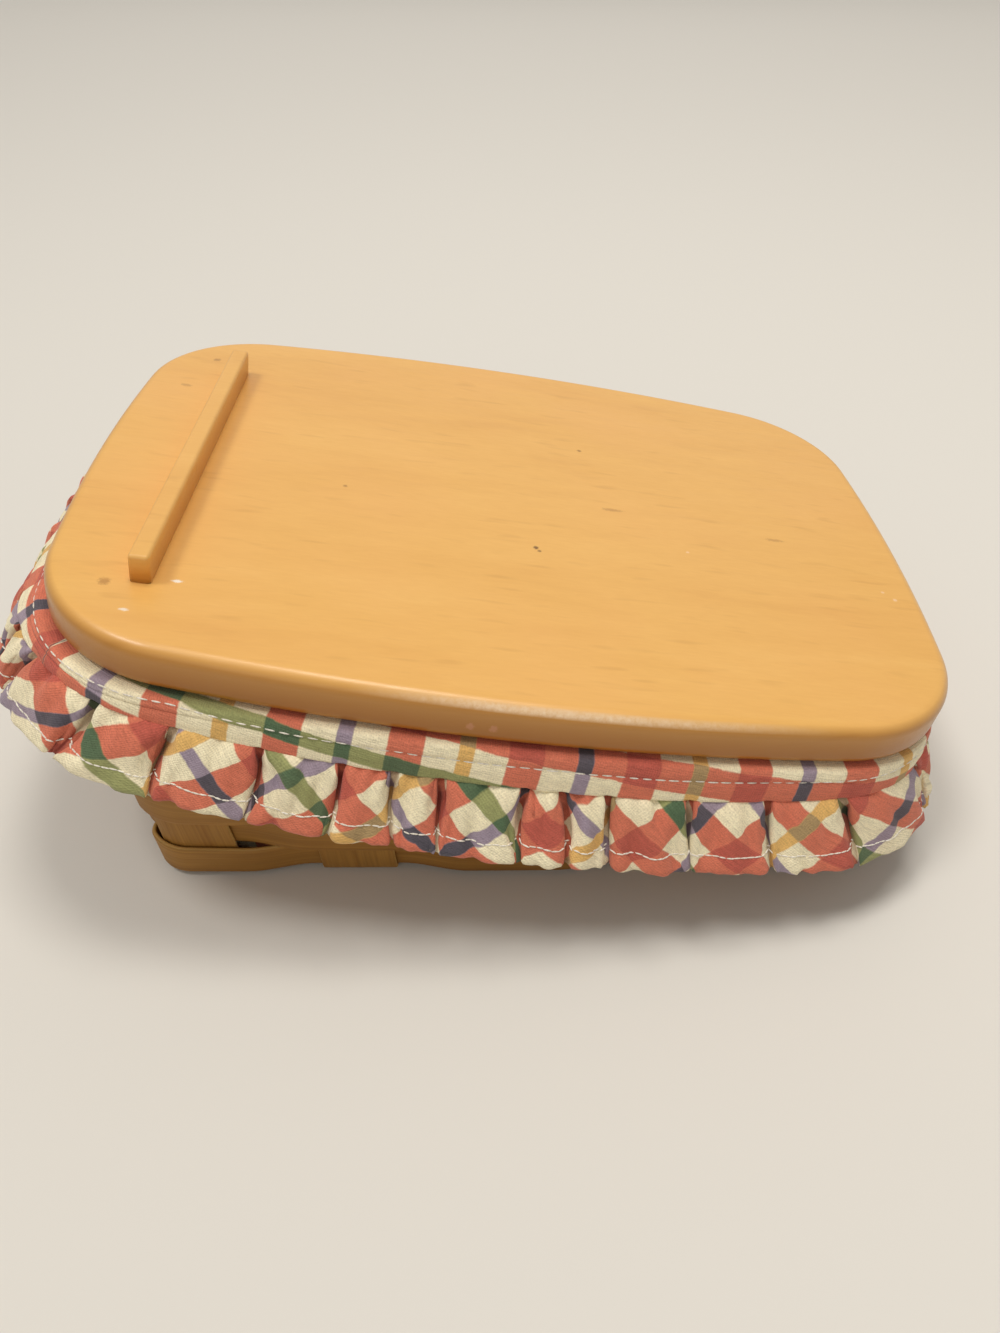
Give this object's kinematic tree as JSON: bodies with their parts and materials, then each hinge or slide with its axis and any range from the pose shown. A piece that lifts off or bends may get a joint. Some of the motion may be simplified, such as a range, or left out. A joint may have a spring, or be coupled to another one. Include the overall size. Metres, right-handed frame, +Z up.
{
  "type": "lidded basket",
  "caption": "Woven splint basket with a slanted rim, a gathered cloth liner folded over the rim, and a loose wooden lid with a raised ledge.",
  "frame": {"origin": "middle of the underside of the woven floor, on the table", "axes": "+X along the length towards the low end of the slanted rim, +Y across the width away from the camera, +Z up"},
  "size_m": [0.234, 0.1872, 0.0876],
  "materials": {
    "splint_wood": "satin",
    "rim_wood": "satin",
    "lid_wood": "satin",
    "tack_brass": "satin",
    "liner_cloth": "woven cotton"
  },
  "bodies": {
    "basket": {"cross_stake_1": "splint_wood", "cross_stake_2": "splint_wood", "cross_stake_3": "splint_wood", "cross_stake_4": "splint_wood", "cross_stake_5": "splint_wood", "long_stake_1": "splint_wood", "long_stake_2": "splint_wood", "long_stake_3": "splint_wood", "weaver_1": "splint_wood", "weaver_2": "splint_wood", "weaver_3": "splint_wood", "weaver_4": "splint_wood", "weaver_5": "splint_wood", "weaver_6": "splint_wood", "weaver_7": "splint_wood", "rim_outer_band": "rim_wood", "rim_inner_band": "rim_wood", "rim_tacks": "tack_brass", "liner_bag": "liner_cloth", "liner_cuff": "liner_cloth", "liner_ruffle": "liner_cloth"},
    "lid": {"lid_board": "lid_wood", "lid_ledge": "lid_wood"}
  },
  "joints": [
    {"name": "lid_lift", "type": "slide", "parent": "basket", "child": "lid", "axis": [0.159, 0, 0.9873], "range_m": [0, 0.09]}
  ]
}
